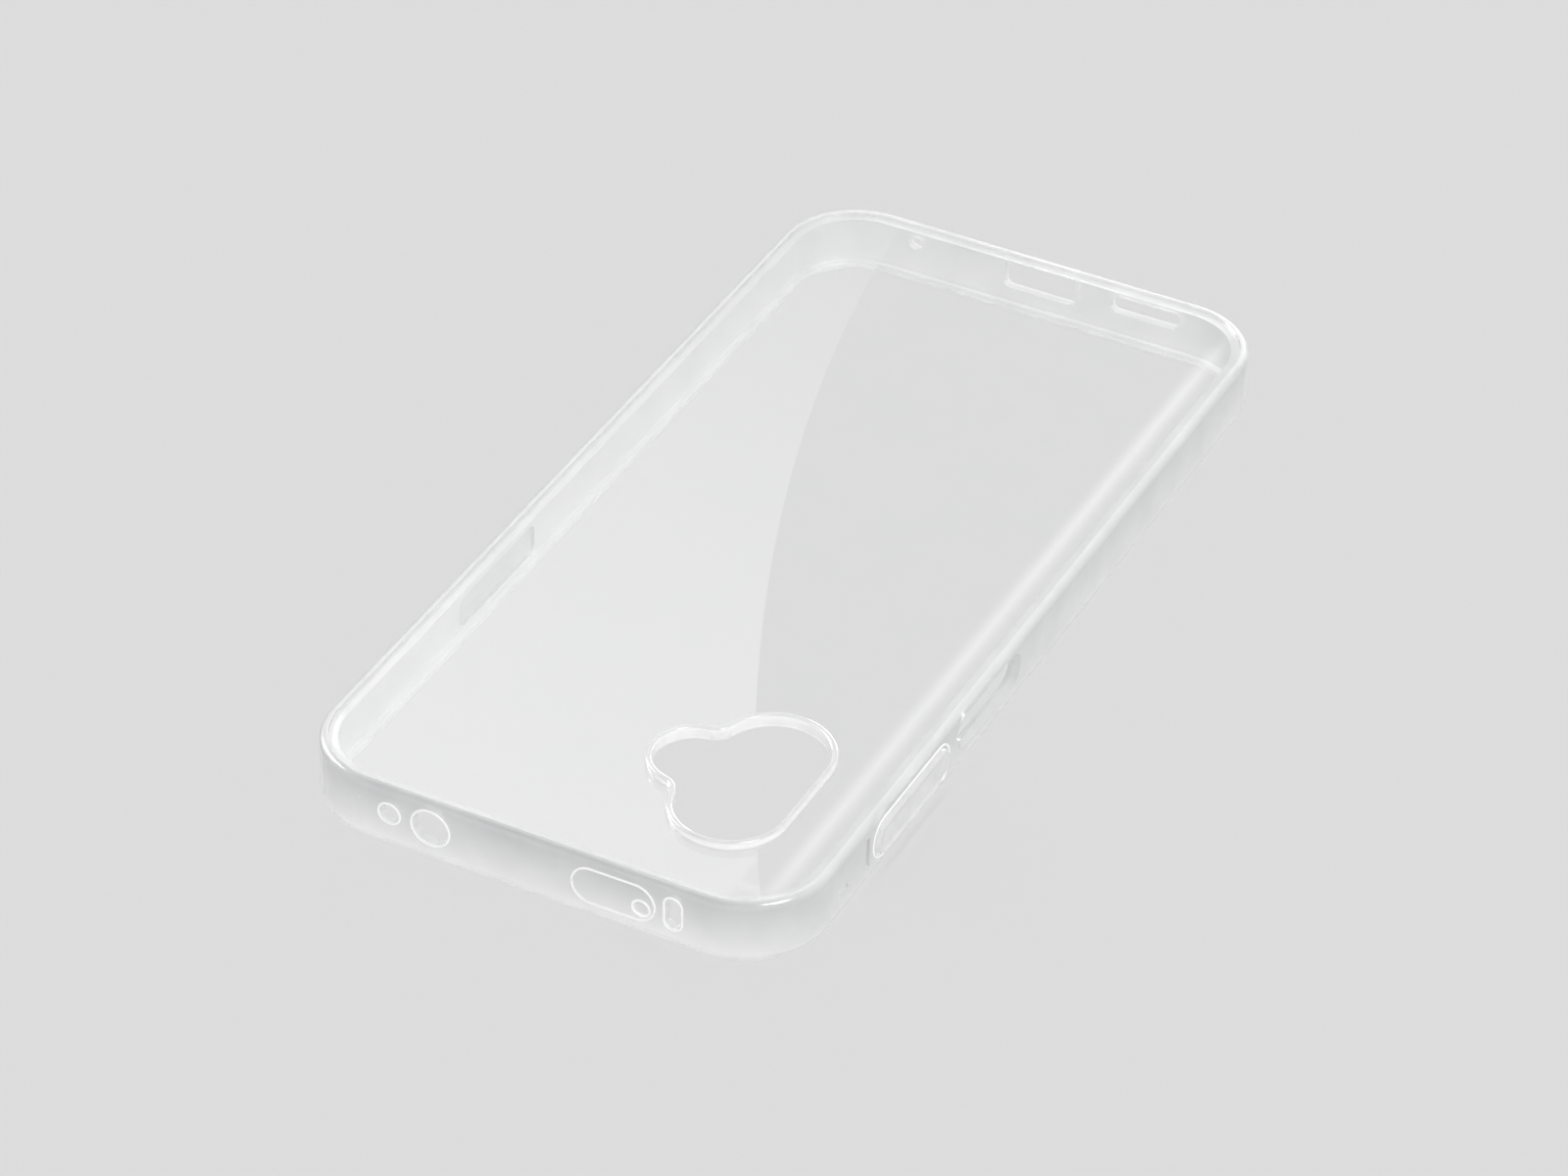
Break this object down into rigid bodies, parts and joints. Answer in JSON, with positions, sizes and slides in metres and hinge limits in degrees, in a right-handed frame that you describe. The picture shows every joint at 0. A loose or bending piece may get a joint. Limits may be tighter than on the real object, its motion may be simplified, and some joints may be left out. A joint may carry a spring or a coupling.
{
  "type": "phone case",
  "caption": "Clear phone case with a hard sheet back, a soft milky frame with port openings, a raised camera rim and a pressable volume pad.",
  "frame": {"origin": "centre of the case's outline (the side pad not counted), on the plane that the screen-side rim rests on", "axes": "+Z out of the back of the case, +X towards the side with the volume pad, -Y towards the camera end"},
  "size_m": [0.0786, 0.162, 0.0112],
  "materials": {
    "soft_frame": "gloss",
    "clear_sheet": "gloss",
    "soft_ring": "gloss",
    "soft_pad": "gloss"
  },
  "bodies": {
    "case": {"bumper_frame": "soft_frame", "back_panel": "clear_sheet", "camera_ring": "soft_ring"},
    "volume_button": {"volume_pad": "soft_pad"}
  },
  "joints": [
    {"name": "volume_press", "type": "slide", "parent": "case", "child": "volume_button", "axis": [-1, 0, 0], "range_m": [0, 0.00035], "stiffness_N_per_m": 2000}
  ]
}
